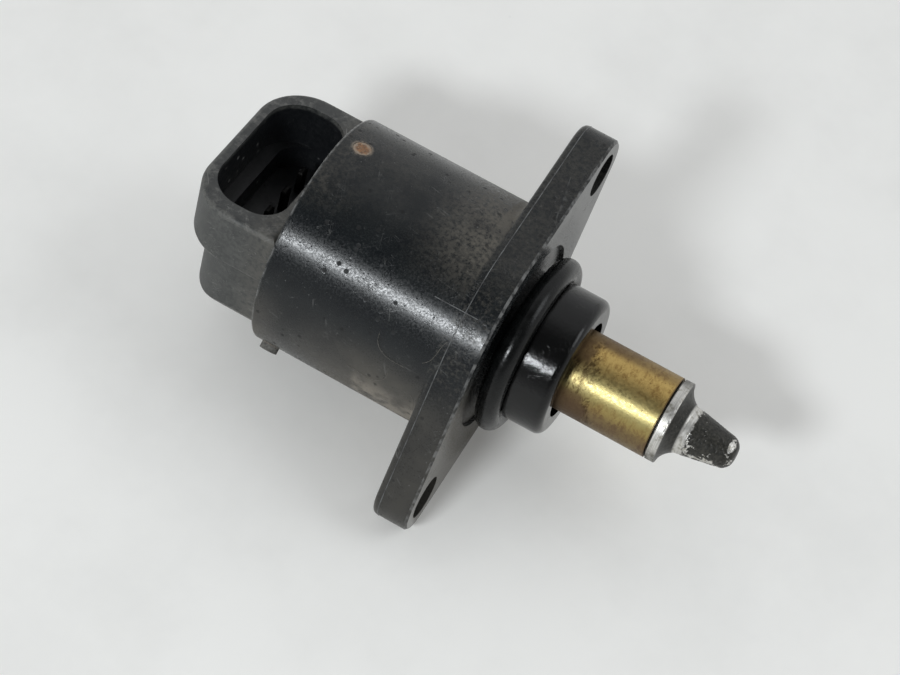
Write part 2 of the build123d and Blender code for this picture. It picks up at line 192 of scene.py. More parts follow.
class ValveColors(bpy.types.PropertyGroup):
    """Colours of the valve's finishes."""

    housing: FloatVectorProperty(
        name="Housing", description="Moulded black of the can and flange",
        subtype="COLOR", default=(0.005, 0.0066, 0.008),
    )
    cap: FloatVectorProperty(
        name="Cap", description="Moulded dark grey of the connector cap",
        subtype="COLOR", default=(0.019, 0.0205, 0.021),
    )
    # The dust colour also paints the pale sheen low on the can
    dust: FloatVectorProperty(
        name="Dust", description="Brownish grey dust",
        subtype="COLOR", default=(0.11, 0.1, 0.083),
    )
    caked: FloatVectorProperty(
        name="Caked dust", description="Pale dust caked low on the can",
        subtype="COLOR", default=(0.27, 0.24, 0.2),
    )
    brass: FloatVectorProperty(
        name="Brass", description="Clean brass of the sleeve",
        subtype="COLOR", default=(0.78, 0.53, 0.175),
    )
    tarnish: FloatVectorProperty(
        name="Tarnish", description="Brown tarnish on the brass",
        subtype="COLOR", default=(0.3, 0.165, 0.045),
    )
    steel: FloatVectorProperty(
        name="Steel", description="Turned steel of the pintle",
        subtype="COLOR", default=(0.68, 0.665, 0.63),
    )
    soot: FloatVectorProperty(
        name="Soot", description="Soot on the pintle's point",
        subtype="COLOR", default=(0.02, 0.0195, 0.017),
    )
    rust: FloatVectorProperty(
        name="Rust", description="Rust on the cap's pins",
        subtype="COLOR", default=(0.3, 0.15, 0.07),
    )
    floor: FloatVectorProperty(
        name="Floor", description="Pale painted table",
        subtype="COLOR", default=(0.862, 0.855, 0.828),
    )


class Graph:
    """Nodes of a finish or of a recipe."""

    def feed(self, socket, value):
        """Link a socket, or set its value."""
        if isinstance(value, bpy.types.NodeSocket):
            self.tree.links.new(value, socket)
        else:
            socket.default_value = value

    def node(self, kind, inputs=None, **settings):
        """Add a node with its settings and inputs."""
        made = self.tree.nodes.new(kind)
        for key, value in settings.items():
            setattr(made, key, value)
        for key, value in (inputs or {}).items():
            self.feed(made.inputs[key], value)
        return made


class Recipe(Graph):
    """Geometry nodes with named inputs, which end as real geometry with one finish."""

    def __init__(self, name, **kinds):
        self.tree = bpy.data.node_groups.new(name, "GeometryNodeTree")
        face = self.tree.interface
        face.new_socket("Path", in_out="INPUT", socket_type="NodeSocketGeometry")
        for label, kind in kinds.items():
            face.new_socket(label, in_out="INPUT", socket_type=f"NodeSocket{kind}")
        face.new_socket("Finish", in_out="INPUT", socket_type="NodeSocketMaterial")
        face.new_socket("Result", in_out="OUTPUT", socket_type="NodeSocketGeometry")
        self.given = self.node("NodeGroupInput").outputs

    def circle(self, points, radius):
        """Circle of so many points."""
        inputs = {"Resolution": points, "Radius": radius}
        return self.node("GeometryNodeCurvePrimitiveCircle", inputs).outputs[0]

    def finish(self, geometry):
        """Make the result real, smooth and finished."""
        real = self.node("GeometryNodeRealizeInstances", {"Geometry": geometry}).outputs[0]
        smooth = self.node("GeometryNodeSetShadeSmooth", {"Geometry": real}).outputs[0]
        inputs = {"Geometry": smooth, "Material": self.given["Finish"]}
        done = self.node("GeometryNodeSetMaterial", inputs).outputs[0]
        self.node("NodeGroupOutput", {"Result": done})

    def apply(self, name, path, finish, **values):
        """Grow the recipe on a path, keep the result as a plain mesh, and hand back its object."""
        made = bpy.data.objects.new(name, path)
        bpy.context.scene.collection.objects.link(made)
        grown = made.modifiers.new("grown", "NODES")
        grown.node_group = self.tree
        for item in self.tree.interface.items_tree:
            if item.in_out == "INPUT" and item.name in values:
                grown[item.identifier] = values[item.name]
            elif item.in_out == "INPUT" and item.name == "Finish":
                grown[item.identifier] = finish.material
        bpy.context.view_layer.update()
        ready = made.evaluated_get(bpy.context.evaluated_depsgraph_get())
        mesh = bpy.data.meshes.new_from_object(ready)
        made.modifiers.clear()
        made.data = mesh
        mesh.name = name
        return made


class Finish(Graph):
    """A finish made of nodes. It reads the piece's Object coordinates, in millimetres."""

    def __init__(self, name, roughness, metallic=0.0):
        self.material = bpy.data.materials.new(name)
        self.material.use_nodes = True
        self.tree = self.material.node_tree
        self.shader = self.tree.nodes["Principled BSDF"]
        self.shader.inputs["Roughness"].default_value = roughness
        self.shader.inputs["Metallic"].default_value = metallic
        where = self.node("ShaderNodeTexCoord")
        self.place = self.vector("SCALE", where.outputs["Object"], scale=1 / MM)
        self.normal = where.outputs["Normal"]
        split = self.node("ShaderNodeSeparateXYZ", {0: self.place})
        self.x = split.outputs["X"]

    def math(self, operation, first, second=0.0):
        """Result of a sum, a product or the like."""
        return self.node("ShaderNodeMath", {0: first, 1: second}, operation=operation).outputs[0]

    def plus(self, first, second):
        """Sum of two values."""
        return self.math("ADD", first, second)

    def minus(self, first, second):
        """Difference of two values."""
        return self.math("SUBTRACT", first, second)

    def rest(self, value):
        """What is left of 1."""
        return self.minus(1.0, value)

    def size(self, value):
        """Value without its sign."""
        return self.math("ABSOLUTE", value)

    def times(self, *values):
        """Product of several values."""
        made = values[0]
        for value in values[1:]:
            made = self.math("MULTIPLY", made, value)
        return made

    def most(self, *values):
        """Largest of several values."""
        made = values[0]
        for value in values[1:]:
            made = self.math("MAXIMUM", made, value)
        return made

    def vector(self, operation, first, second=None, scale=None):
        """Result of vector arithmetic."""
        inputs = {0: first}
        if second is not None:
            inputs[1] = second
        if scale is not None:
            inputs["Scale"] = scale
        made = self.node("ShaderNodeVectorMath", inputs, operation=operation)
        return made.outputs["Value" if operation in ("DOT_PRODUCT", "LENGTH") else "Vector"]

    def along(self, direction):
        """Distance along a direction, in millimetres."""
        return self.vector("DOT_PRODUCT", self.place, tuple(direction))

    def facing(self, direction):
        """How far the surface faces a direction, from -1 to 1."""
        return self.vector("DOT_PRODUCT", self.normal, tuple(direction))

    def radius(self):
        """Distance from the valve's axis, in millimetres."""
        return self.vector("LENGTH", self.vector("MULTIPLY", self.place, (0.0, 1.0, 1.0)))

    def ramp(self, value, low, high, start=0.0, end=1.0):
        """Value eased from start at low to end at high."""
        inputs = {"Value": value, "From Min": low, "From Max": high, "To Min": start, "To Max": end}
        return self.node("ShaderNodeMapRange", inputs, interpolation_type="SMOOTHSTEP").outputs["Result"]

    def band(self, value, low, high, soft):
        """1 between two values, with soft ends."""
        return self.times(self.ramp(value, low - soft, low), self.ramp(value, high + soft, high))

    def noise(self, scale, detail=3.0, roughness=0.55, stretch=None, distortion=0.0):
        """Noise with so many features to the millimetre, drawn out where stretch is below 1."""
        place = self.vector("MULTIPLY", self.place, stretch) if stretch else self.place
        inputs = {
            "Vector": place, "Scale": scale, "Detail": detail,
            "Roughness": roughness, "Distortion": distortion,
        }
        return self.node("ShaderNodeTexNoise", inputs).outputs[0]

    def specks(self, scale, size, share):
        """Spots in so many cells to the millimetre, in a share of them, with a size in cells."""
        cells = self.node("ShaderNodeTexVoronoi", {"Vector": self.place, "Scale": scale})
        chance = self.node("ShaderNodeSeparateColor", {0: cells.outputs["Color"]}).outputs[0]
        spot = self.ramp(cells.outputs["Distance"], size, size * 0.5)
        return self.times(spot, self.math("LESS_THAN", chance, share))

    def unrolled(self):
        """Place on the can laid flat: along the axis and round it, in millimetres."""
        turn = self.math("ARCTAN2", self.along(BOLT_LINE), self.along(FLANGE_SHORT))
        return self.node("ShaderNodeCombineXYZ", {0: self.x, 1: self.times(turn, CAN_RADIUS / MM)}).outputs[0]

    def scratches(self, turn, scale, limit):
        """Fine straight lines at an angle to the axis: a narrow slice through drawn-out noise."""
        turned = self.node("ShaderNodeVectorRotate", {"Vector": self.unrolled(), "Angle": turn}).outputs[0]
        drawn = self.vector("MULTIPLY", turned, (0.05, 1.0, 1.0))
        lines = self.node("ShaderNodeTexNoise", {"Vector": drawn, "Scale": scale, "Detail": 1.0}).outputs[0]
        slice_at = self.size(self.minus(lines, 0.5))
        gaps = self.ramp(self.noise(0.35, 2.0), 0.52, 0.62)
        return self.times(self.ramp(slice_at, limit, 0.0), gaps)

    def off_pins(self):
        """Distance from the axis of the nearest cap pin, in millimetres."""
        near = []
        for spot, direction in PINS:
            offset = self.vector("SUBTRACT", self.place, tuple(spot / MM))
            across = self.vector("LENGTH", self.vector("CROSS_PRODUCT", offset, tuple(direction)))
            far_side = self.math("LESS_THAN", self.along(direction), 0.0)
            near.append(self.plus(across, self.times(far_side, 2 * CAN_RADIUS / MM)))
        return self.math("MINIMUM", self.math("MINIMUM", near[0], near[1]), near[2])

    def mix(self, factor, first, second):
        """Colour between two."""
        made = self.node("ShaderNodeMix", data_type="RGBA")
        self.feed(made.inputs[0], factor)
        for socket, color in ((made.inputs[6], first), (made.inputs[7], second)):
            self.feed(socket, color if isinstance(color, bpy.types.NodeSocket) else (*color, 1.0))
        return made.outputs[2]

    def color(self, value):
        """Give the surface its colour."""
        self.feed(self.shader.inputs["Base Color"], value)

    def coats(self, base, *coats):
        """Give the surface a base colour under coats, each a mask and a colour."""
        for mask, coat in coats:
            base = self.mix(mask, base, coat)
        self.color(base)

    def rough(self, value):
        """Give the surface its roughness."""
        self.feed(self.shader.inputs["Roughness"], value)

    def bump(self, height, depth_mm):
        """Raise the surface by a height times a depth."""
        made = self.node("ShaderNodeBump", {"Height": height, "Strength": 1.0, "Distance": depth_mm * MM})
        self.feed(self.shader.inputs["Normal"], made.outputs[0])


def dress(names, finish):
    """Give CAD nodes one finish."""
    for name in names:
        slots = NODES[name].data.materials
        slots.clear()
        slots.append(finish.material)


def path_mesh(name, *lines):
    """Mesh of edges alone: each line is its points and whether it closes."""
    points, edges = [], []
    for line, closed in lines:
        first = len(points)
        points += line
        edges += [(first + i, first + i + 1) for i in range(len(line) - 1)]
        if closed:
            edges.append((len(points) - 1, first))
    mesh = bpy.data.meshes.new(name)
    mesh.from_pydata(points, edges, [])
    return mesh


def close_up(mesh):
    """Join a mesh's meeting points, turn its faces outwards and smooth it."""
    work = bmesh.new()
    work.from_mesh(mesh)
    bmesh.ops.remove_doubles(work, verts=work.verts, dist=MEETING)
    bmesh.ops.recalc_face_normals(work, faces=work.faces)
    work.to_mesh(mesh)
    work.free()
    mesh.shade_smooth()


def swept_recipe():
    """Recipe: a round bar along a path."""
    made = Recipe("swept", Radius="Float")
    curve = made.node("GeometryNodeMeshToCurve", {"Mesh": made.given["Path"]}).outputs[0]
    section = made.circle(8, made.given["Radius"])
    bar = made.node("GeometryNodeCurveToMesh", {"Curve": curve, "Profile Curve": section, "Fill Caps": True})
    made.finish(bar.outputs[0])
    return made


def around(x, radius, angle):
    """Point at a place along the axis and a radius from it.

    The angle runs from the flange's short axis towards the upper lobe.
    """
    return AXIS * x + radius * (math.cos(angle) * FLANGE_SHORT + math.sin(angle) * BOLT_LINE)


def flange_outline(x):
    """Points round the flange's edge at a place along the axis."""
    steps, turn = 24, FLANGE_TURN
    arcs = (
        (BOLT_REACH, LOBE_RADIUS, -turn, turn),
        (0, CAN_RADIUS, turn, math.pi - turn),
        (-BOLT_REACH, LOBE_RADIUS, math.pi - turn, math.pi + turn),
        (0, CAN_RADIUS, math.pi + turn, 2 * math.pi - turn),
    )
    points = []
    for reach, radius, start, end in arcs:
        for step in range(steps + 1):
            angle = start + (end - start) * step / steps
            flat = BOLT_LINE * (reach + radius * math.cos(angle)) + FLANGE_SHORT * (radius * math.sin(angle))
            points.append(AXIS * x + flat)
    return points


def flange_rear(sizes):
    """Place of the flange's rear face, from a ray beside the can, near the upper lobe's middle."""
    near_middle = math.radians(83)
    start = around(RIM_X / 2, CAN_RADIUS + sizes.root_round, near_middle)
    hit, spot, _, _ = NODES["housing"].ray_cast(start, AXIS)
    if not hit:
        raise RuntimeError("the flange has no rear face beside the can")
    return spot.x


def root_mesh(sizes, rear):
    """Mesh of the round between the can and each lobe of the flange, thinner as the corner runs out."""
    sections, arc_steps, hidden, sharp = 48, 6, 0.1 * MM, math.radians(50)
    ring = arc_steps + 2
    points, faces = [], []
    for lobe in (math.pi / 2, -math.pi / 2):
        for number in range(sections + 1):
            turned = FLANGE_TURN * (2 * number / sections - 1)
            ledge = CAN_RADIUS / math.cos(FLANGE_TURN - abs(turned)) - CAN_RADIUS
            reach = min(sizes.root_round, max(ledge - sizes.edge_round, 0.0))
            first = len(points)
            for step in range(arc_steps + 1):
                arc = math.pi / 2 * step / arc_steps
                x = rear - reach * (1 - math.sin(arc))
                points.append(around(x, CAN_RADIUS + reach * (1 - math.cos(arc)), lobe + turned))
            points.append(around(rear + hidden, CAN_RADIUS - hidden, lobe + turned))
            for step in range(ring if number else 0):
                after = (step + 1) % ring
                faces.append((first - ring + step, first - ring + after, first + after, first + step))
    mesh = bpy.data.meshes.new("root_round")
    mesh.from_pydata(points, [], faces)
    close_up(mesh)
    mesh.set_sharp_from_angle(angle=sharp)
    return mesh


class HousingFinish(Finish):
    """Satin black moulding: grimy towards the flange's rear face, pitted and worn, glossy at the spigot."""

    def __init__(self, colors, rear):
        super().__init__("housing_plastic", 0.3)
        self.shader.inputs["Specular IOR Level"].default_value = 0.32
        self.rear, self.rim, self.can = rear / MM, RIM_X / MM, CAN_RADIUS / MM
        self.side, self.off_axis = self.along(BOLT_LINE), self.radius()
        self.grain = self.noise(1.7, 6.0, 0.7)
        self.cloud = self.noise(0.22, 4.0, 0.6)
        self.on_spigot = self.ramp(self.x, 0.05, 0.3)
        self.front_face = self.ramp(self.facing(AXIS), 0.9, 0.97)
        self.body = self.rest(self.most(self.on_spigot, self.front_face))
        self.lines = self.most(
            self.scratches(0.25, 1.3, 0.006), self.scratches(1.2, 1.1, 0.005),
            self.scratches(2.5, 1.5, 0.005),
        )
        pits = self.most(self.specks(0.75, 0.3, 0.22), self.specks(1.9, 0.24, 0.2))
        self.pits = self.times(pits, self.body)
        self.dust_and_sheen = self.most(self.times(self.dust(), self.body), self.face_dust())
        self.caked = self.caked_dust()
        self.paint(colors)
        self.polish()

    def dust(self):
        """Dust on the can and on the flange's edge: thickest behind the flange, at the rim and low down,
        where it also paints a pale sheen along the can's lower side.
        """
        behind_flange = self.times(
            self.ramp(self.x, self.rear - 13.6, self.rear - 0.2), self.ramp(self.side, -2.0, 9.0),
            self.ramp(self.grain, 0.3, 0.64), self.ramp(self.cloud, 0.3, 0.55, 0.55, 1.0),
            self.ramp(self.x, self.rear + 0.3, self.rear - 0.2, 0.25, 1.0),
        )
        in_corner = self.times(
            self.band(self.x, self.rear - 1.6, self.rear - 0.25, 0.6), self.ramp(self.side, 7.0, 14.0),
            self.ramp(self.grain, 0.28, 0.5),
        )
        at_rim = self.times(
            self.ramp(self.x, -20.0, self.rim), self.ramp(self.side, 0.0, 6.0),
            self.ramp(self.grain, 0.36, 0.7), self.ramp(self.cloud, 0.35, 0.6, 0.15, 0.45),
        )
        film = self.times(
            self.ramp(self.side, 0.0, 16.0), self.ramp(self.cloud, 0.35, 0.65, 0.04, 0.22),
            self.ramp(self.grain, 0.3, 0.6),
        )
        both_ends = self.most(
            self.ramp(self.x, -30.0, -10.0, 0.12, 1.0), self.ramp(self.x, -25.0, self.rim, 0.1, 0.7),
        )
        # Low on the can, towards its lower side: dust together with a painted pale sheen
        low_dust_and_sheen = self.times(
            self.ramp(self.side, -9.0, -17.0), both_ends, self.ramp(self.cloud, 0.3, 0.7, 0.6, 1.1),
            self.ramp(self.x, self.rear + 0.2, self.rear - 0.2, 0.35, 1.0),
        )
        on_edge = self.times(
            self.band(self.x, self.rear - 0.2, -0.5, 0.2), self.ramp(self.grain, 0.47, 0.66), 0.3,
        )
        return self.most(behind_flange, in_corner, at_rim, film, low_dust_and_sheen, on_edge)

    def face_dust(self):
        """Dust on the lower half of the flange's front face."""
        grainy = self.ramp(self.grain, 0.3, 0.6, 0.5, 1.0)
        return self.times(self.front_face, self.ramp(self.side, -6.0, -15.0), grainy, 0.9)

    def caked_dust(self):
        """Pale dust caked low on the can, behind the flange."""
        return self.times(
            self.ramp(self.side, -14.0, -16.6), self.band(self.x, self.rear - 9.6, self.rear - 0.3, 1.0),
            self.ramp(self.noise(0.4, 5.0), 0.36, 0.6),
            self.ramp(self.off_axis, self.can + 1.4, self.can + 0.2), 0.8,
        )

    def marks(self):
        """Fine scratches and pale spots."""
        spots = self.times(self.most(self.specks(1.1, 0.12, 0.16), self.specks(2.6, 0.16, 0.1)), self.body)
        return self.times(self.most(self.times(self.lines, 0.6), spots), self.body, 0.35)

    def worn(self):
        """Wear on the flange's front edge and the can's rim, and pale chipped spots on the face round the
        seal, set thickly enough to paint its glints as well.
        """
        front_edge = self.times(self.band(self.facing(AXIS), 0.5, 0.9, 0.15), self.ramp(self.x, 0.1, 0.0))
        rim_edge = self.times(
            self.ramp(self.x, self.rim + 0.5, self.rim + 0.15),
            self.ramp(self.off_axis, self.can - 0.6, self.can - 0.1),
        )
        edges = self.times(self.most(front_edge, rim_edge), self.ramp(self.noise(1.1, 5.0), 0.38, 0.66))
        # Pale specks round the seal: chips, set thick enough to be painted glints as well
        chips_and_glints = self.times(
            self.specks(2.2, 0.3, 0.5), self.band(self.off_axis, 13.3, 15.6, 0.6),
            self.ramp(self.x, -1.4, -0.3), self.front_face,
        )
        return self.times(self.most(edges, chips_and_glints), 0.6)

    def paint(self, colors):
        """Lay the colours over one another."""
        pin_edge = self.times(
            self.ramp(self.off_pins(), 1.75, 1.35), self.ramp(self.grain, 0.3, 0.6), self.body, 0.6,
        )
        self.coats(
            colors.housing,
            (self.ramp(self.cloud, 0.3, 0.7), (0.009, 0.0112, 0.0122)),
            (self.on_spigot, (0.002, 0.002, 0.002)),
            (self.dust_and_sheen, colors.dust),
            (self.caked, colors.caked),
            (self.marks(), (0.26, 0.26, 0.25)),
            (self.worn(), (0.23, 0.23, 0.225)),
            (pin_edge, (0.27, 0.22, 0.17)),
            (self.times(self.pits, 0.6), (0.004, 0.004, 0.004)),
        )

    def polish(self):
        """Satin and grainy on the can, glossy on the flange's lobes, glossy and uneven on the spigot."""
        satin = self.ramp(self.noise(3.5, 5.0, 0.7), 0.36, 0.64, 0.15, 0.33)
        satin = self.plus(satin, self.times(self.most(self.dust_and_sheen, self.caked, self.pits), 0.35))
        on_lobes = self.times(self.front_face, self.ramp(self.off_axis, self.can - 1.0, self.can + 3.5))
        glossy = self.most(self.on_spigot, on_lobes)
        self.rough(self.plus(self.times(satin, self.rest(glossy)), self.times(glossy, 0.15)))
        relief = self.minus(self.times(self.noise(3.5, 4.0), 0.5), self.pits)
        relief = self.plus(relief, self.times(self.noise(1.4, 4.0, 0.6), self.on_spigot, 1.6))
        self.bump(self.minus(relief, self.times(self.lines, 0.4)), 0.018)


def cap_finish(colors):
    """Matte dark grey moulding, with dust outside and painted shade in the socket."""
    made = Finish("cap_plastic", 0.62)
    socket, mouth, rim_x = SOCKET_X / MM, MOUTH_UP / MM, RIM_X / MM
    up = made.along(SOCKET_UP)
    across = made.size(made.along(SOCKET_ACROSS))
    rear_wall = made.times(made.ramp(made.facing(-AXIS), 0.05, 0.3), made.ramp(made.x, socket, socket - 3.0))
    inside = made.times(
        made.ramp(made.size(made.minus(made.x, socket)), 5.9, 5.5),
        made.ramp(across, 11.6, 11.2),
        made.band(up, mouth - 11.7, mouth - 1.0, 0.5),
        made.rest(rear_wall),
    )
    grain = made.noise(1.5, 6.0, 0.7)
    cloud = made.noise(0.25, 5.0, 0.6)
    top = made.ramp(made.facing(SOCKET_UP), 0.6, 0.95)
    film = made.times(made.ramp(cloud, 0.25, 0.75, 0.45, 1.0), made.ramp(grain, 0.32, 0.64, 0.15, 1.0))
    film = made.times(film, made.ramp(top, 0.0, 1.0, 0.85, 0.28))
    edge = made.band(made.facing(SOCKET_UP), 0.25, 0.9, 0.15)
    under = made.band(made.facing(-SOCKET_UP), 0.2, 0.75, 0.12)
    streaks = made.ramp(made.noise(0.8, 6.0, 0.75), 0.4, 0.6)
    rubbed = made.times(made.most(edge, made.times(under, 0.8)), streaks)
    lines = made.most(
        made.scratches(0.1, 1.3, 0.006), made.scratches(0.9, 1.5, 0.006), made.scratches(2.4, 1.8, 0.005),
    )
    near_can = made.times(made.ramp(made.x, rim_x - 6.0, rim_x), made.ramp(grain, 0.3, 0.6), 0.45)
    scuffed = made.times(
        top, made.ramp(made.noise(0.45, 6.0, 0.7), 0.48, 0.64), made.ramp(grain, 0.35, 0.6), 0.55,
    )
    marks = made.times(made.most(lines, made.specks(1.6, 0.14, 0.25)), 0.4)
    # In the socket the colour is painted shade: near black, darker on the floor than on the walls, with pale
    # dust specks
    level = made.ramp(made.facing(SOCKET_UP), 0.2, 0.8)
    shade = made.mix(level, (0.0085, 0.0095, 0.011), (0.0065, 0.007, 0.008))
    shade = made.mix(made.times(made.specks(0.45, 0.16, 0.35), 0.8), shade, (0.3, 0.3, 0.29))
    made.coats(
        colors.cap,
        (film, (0.101, 0.103, 0.096)),
        (near_can, (0.135, 0.125, 0.105)),
        (made.times(rubbed, 0.3), (0.2, 0.195, 0.175)),
        (scuffed, (0.17, 0.168, 0.155)),
        (marks, (0.26, 0.255, 0.24)),
        (inside, shade),
    )
    dull = made.plus(made.ramp(grain, 0.3, 0.7, 0.42, 0.6), made.times(film, 0.12))
    made.rough(made.minus(dull, made.times(inside, 0.12)))
    made.bump(made.minus(made.noise(4.0, 3.0), made.times(lines, 0.6)), 0.018)
    return made


def seal_finish():
    """Dull black rubber."""
    made = Finish("seal_rubber", 0.42)
    made.shader.inputs["Specular IOR Level"].default_value = 0.25
    cloud = made.ramp(made.noise(0.8, 4.0), 0.35, 0.7)
    made.color(made.mix(cloud, (0.002, 0.0022, 0.0022), (0.006, 0.0064, 0.0064)))
    made.rough(made.ramp(made.noise(1.5, 3.0), 0.3, 0.7, 0.16, 0.3))
    made.bump(made.noise(3.0, 3.0), 0.012)
    return made


def brass_finish(colors):
    """Drawn brass, mottled with brown tarnish on its sides and dark where it leaves the spigot, with a darker
    middle stripe that is painted to dim the highlight.
    """
    made = Finish("sleeve_brass", 0.25, 1.0)
    spigot, front = SPIGOT_X / MM, SLEEVE_X / MM
    side = made.along(BOLT_LINE)
    patches = made.ramp(made.noise(0.42, 6.0, 0.7, distortion=0.6), 0.36, 0.6)
    feather = made.ramp(made.noise(1.3, 6.0, 0.75, stretch=(1.0, 0.45, 0.45), distortion=1.2), 0.4, 0.66)
    sides = made.most(made.ramp(side, -0.6, 2.6, 0.12, 0.62), made.ramp(side, -1.8, -4.4, 0.12, 1.0))
    low = made.ramp(side, -2.2, -4.8)
    blotched = made.plus(made.times(feather, 0.45), made.times(patches, 0.5))
    stained = made.times(made.most(blotched, 0.3), sides)
    slanted = made.plus(made.x, made.times(side, 0.3))
    ragged = made.plus(slanted, made.times(made.noise(0.7, 4.0), 4.0))
    root = made.ramp(ragged, spigot + 6.3, spigot + 4.0)
    top_edge = made.times(made.ramp(side, 3.7, 4.9), made.ramp(made.x, front - 0.5, spigot + 3.0, 0.6, 1.0))
    root = made.times(root, made.ramp(sides, 0.15, 0.6, 0.3, 1.0))
    ends = made.most(root, top_edge, made.ramp(made.x, front - 0.25, front - 0.05))
    pits = made.specks(2.4, 0.22, 0.25)
    gold = made.mix(made.ramp(side, -1.5, 1.5), (0.56, 0.45, 0.14), colors.brass)
    tide = made.times(root, made.rest(root), made.ramp(feather, 0.2, 0.7), 3.0)
    # The base colour shows on the middle stripe, where the highlight falls: darker there as painted light, to
    # dim the highlight and paint the dark reflection band beside it
    made.coats(
        (0.345, 0.302, 0.14),
        (sides, gold),
        (stained, colors.tarnish),
        (made.times(feather, patches, sides, 0.95), (0.15, 0.075, 0.025)),
        (made.times(low, 0.8), (0.15, 0.105, 0.068)),
        (made.times(ends, 0.82), (0.115, 0.074, 0.045)),
        (tide, (0.06, 0.036, 0.016)),
        (made.times(pits, 0.8), (0.09, 0.055, 0.025)),
    )
    smooth = made.ramp(made.noise(2.5, 4.0), 0.3, 0.7, 0.28, 0.42)
    made.rough(made.plus(smooth, made.times(made.most(stained, ends), 0.15)))
    made.bump(made.minus(made.noise(3.0, 4.0), made.most(pits, made.times(stained, 0.7))), 0.012)
    return made


def pintle_finish(colors):
    """Brushed steel, blackened with soot where the piece says so, with bare metal where it flaked off and in
    a painted highlight crescent on the nose, and painted shade towards the collar's edges.
    """
    made = Finish("pintle_steel", 0.3, 1.0)
    made.shader.inputs["Specular IOR Level"].default_value = 0.25
    soot = made.node("ShaderNodeAttribute", attribute_name="soot").outputs["Fac"]
    rings = made.noise(9.0, 2.0, stretch=(1.0, 0.03, 0.03))
    dimmer = tuple(0.78 * part for part in colors.steel)
    bare = made.mix(made.ramp(rings, 0.4, 0.6), colors.steel, dimmer)
    stain = made.ramp(made.noise(1.6, 5.0), 0.48, 0.68, 0.0, 0.55)
    bare = made.mix(stain, bare, (0.18, 0.16, 0.105))
    # Towards the collar's edges on either side of the bolt line the bare steel is darker and mottled: painted
    # shade
    off_middle = made.size(made.along(BOLT_LINE))
    edge = SLEEVE_RADIUS / MM
    grime = made.times(
        made.ramp(off_middle, 0.7 * edge, 0.96 * edge), made.ramp(made.noise(0.9, 4.0), 0.3, 0.6, 0.5, 1.0),
    )
    bare = made.mix(made.times(grime, 0.8), bare, (0.05, 0.047, 0.04))
    crust = made.mix(made.ramp(made.noise(2.5, 4.0), 0.35, 0.7), colors.soot, (0.047, 0.045, 0.038))
    flecks = made.times(made.specks(3.5, 0.22, 0.06), 0.5)
    made.color(made.mix(soot, bare, made.mix(flecks, crust, (0.4, 0.39, 0.36))))
    made.feed(made.shader.inputs["Metallic"], made.ramp(soot, 0.2, 0.6, 1.0, 0.0))
    made.rough(made.minus(made.ramp(made.noise(2.0), 0.3, 0.7, 0.38, 0.5), made.times(soot, 0.06)))
    made.bump(made.plus(made.times(rings, 0.3), made.times(made.noise(5.0, 4.0), soot, 0.7)), 0.02)
    return made


def steel_finish(name, color, shade, roughness):
    """Plain machined metal with a fine grain."""
    made = Finish(name, roughness, 1.0)
    made.color(made.mix(made.ramp(made.noise(0.9, 4.0), 0.35, 0.65), color, shade))
    made.rough(made.ramp(made.noise(2.0, 3.0), 0.3, 0.7, roughness - 0.06, roughness + 0.08))
    made.bump(made.noise(6.0, 2.0), 0.004)
    return made


def plastic_finish(name, color, shade, roughness):
    """Plain moulded plastic with a faint grain."""
    made = Finish(name, roughness)
    made.color(made.mix(made.ramp(made.noise(0.7, 4.0), 0.35, 0.65), color, shade))
    made.rough(made.ramp(made.noise(1.6, 3.0), 0.3, 0.7, roughness - 0.05, roughness + 0.08))
    made.bump(made.noise(5.0, 2.0), 0.006)
    return made


def rust_finish(colors):
    """Rough rust with a paler, ragged rim, and dirty grey where a pin stands proud of the can."""
    made = Finish("rusty_steel", 0.8)
    blotch = made.ramp(made.noise(2.2, 5.0, 0.7), 0.35, 0.65)
    ragged = made.plus(made.off_pins(), made.times(made.minus(made.noise(1.3, 4.0), 0.5), 1.4))
    proud = made.ramp(made.radius(), CAN_RADIUS / MM - 0.1, CAN_RADIUS / MM + 0.15)
    grime = made.mix(blotch, (0.08, 0.077, 0.07), (0.19, 0.185, 0.17))
    made.coats(
        colors.rust,
        (blotch, (0.13, 0.08, 0.05)),
        (made.times(made.ramp(ragged, 0.7, 1.15), 0.8), (0.33, 0.27, 0.21)),
        (made.specks(3.5, 0.3, 0.3), (0.42, 0.3, 0.19)),
        (proud, grime),
    )
    made.bump(made.noise(4.0, 4.0), 0.09)
    return made


class VALVE_OT_housing(bpy.types.Operator):
    """Finish the housing, round the corner behind its flange, and run the mould's parting line round it"""

    bl_idname = "valve.housing"
    bl_label = "Housing"

    def execute(self, context):
        colors, sizes = context.scene.valve_colors, context.scene.valve_sizes
        rear = flange_rear(sizes)
        plastic = HousingFinish(colors, rear)
        root = bpy.data.objects.new("root_round", root_mesh(sizes, rear))
        dress(["housing"], plastic)
        root.data.materials.append(plastic.material)
        context.scene.collection.objects.link(root)
        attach(root, "valve_body")
        flash = plastic_finish("flash_plastic", (0.13, 0.135, 0.135), (0.05, 0.05, 0.05), 0.4)
        seam_x = -sizes.seam_back
        steps, in_flange = 40, 16
        along_can = []
        for step in range(-in_flange, steps + 1):
            x = seam_x - sizes.seam_reach * step / steps
            along_can.append(around(x, CAN_RADIUS, sizes.seam_turn))
        path = path_mesh("flash", (flange_outline(seam_x), True), (along_can, False))
        made = swept_recipe().apply("parting_line", path, flash, Radius=sizes.flash_radius)
        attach(made, "valve_body")
        return {"FINISHED"}


